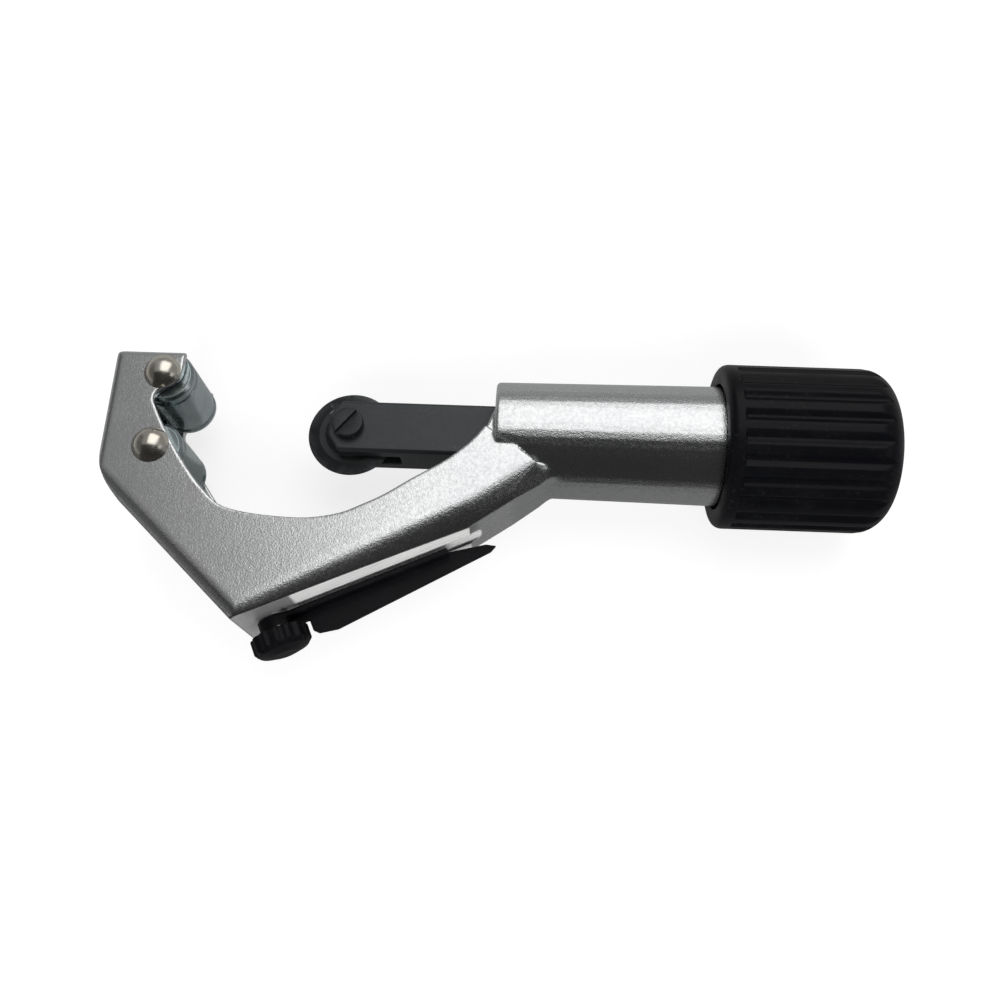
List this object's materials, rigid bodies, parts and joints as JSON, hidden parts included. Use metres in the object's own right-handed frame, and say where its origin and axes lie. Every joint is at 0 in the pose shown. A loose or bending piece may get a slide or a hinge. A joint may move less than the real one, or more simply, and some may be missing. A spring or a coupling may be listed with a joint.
{
  "type": "tube cutter",
  "caption": "Screw-feed tube cutter with grooved rollers in a cast C frame, a sliding cutter wheel, a fluted knob and a swing-out reamer.",
  "frame": {"origin": "midway between the two roller axes, in the middle of the frame's thickness", "axes": "+X along the barrel towards the knob, +Y out of the frame's open side, +Z along the roller and wheel axes"},
  "size_m": [0.1568, 0.0643, 0.0336],
  "materials": {
    "cast_frame": "fine blasted satin casting",
    "zinc_rollers": "zinc plated, satin",
    "nickel_pins": "polished",
    "dark_steel": "dark oxide, satin",
    "wheel_steel": "hardened, ground edge",
    "brass_parts": "machined",
    "bright_steel": "machined",
    "knob_plastic": "moulded, satin",
    "black_steel": "black coated"
  },
  "bodies": {
    "frame_body": {"frame": "cast_frame", "roller_pin_upper": "nickel_pins", "roller_pin_lower": "nickel_pins", "feed_nut": "brass_parts", "nut_pin": "bright_steel", "reamer_screw": "black_steel", "reamer_washer": "bright_steel", "reamer_spring_washer": "bright_steel"},
    "upper_roller": {"roller_upper": "zinc_rollers"},
    "lower_roller": {"roller_lower": "zinc_rollers"},
    "carriage": {"slide": "dark_steel", "wheel_screw": "dark_steel", "swivel_pin": "bright_steel", "thrust_washer": "brass_parts"},
    "wheel": {"cutter_wheel": "wheel_steel", "wheel_bushing": "brass_parts"},
    "knob_set": {"feed_screw": "bright_steel", "knob": "knob_plastic", "knob_insert": "bright_steel", "knob_washer": "bright_steel", "knob_screw": "bright_steel", "knob_end_cap": "knob_plastic"},
    "reamer": {"reamer_blade": "black_steel"}
  },
  "joints": [
    {"name": "feed", "type": "slide", "parent": "frame_body", "child": "carriage", "axis": [-1, 0, 0], "range_m": [-0.0062, 0.0214]},
    {"name": "knob_turn", "type": "hinge", "parent": "carriage", "child": "knob_set", "pos_m": [0.1, 0, 0], "axis": [-1, 0, 0], "range_deg": [-1786, 6164]},
    {"name": "wheel_spin", "type": "hinge", "parent": "carriage", "child": "wheel", "pos_m": [0.0373, 0, 0], "axis": [0, 0, 1], "continuous": true},
    {"name": "upper_roller_spin", "type": "hinge", "parent": "frame_body", "child": "upper_roller", "pos_m": [0, 0.0079, 0], "axis": [0, 0, 1], "continuous": true},
    {"name": "lower_roller_spin", "type": "hinge", "parent": "frame_body", "child": "lower_roller", "pos_m": [0, -0.0079, 0], "axis": [0, 0, 1], "continuous": true},
    {"name": "reamer_swing", "type": "hinge", "parent": "frame_body", "child": "reamer", "pos_m": [0.0255, -0.039, 0], "axis": [0.4179, -0.9085, 0], "range_deg": [0, 180]}
  ],
  "couplings": [
    {"joint": "knob_turn", "follows": "feed", "rad_per_m": 5026.5}
  ]
}
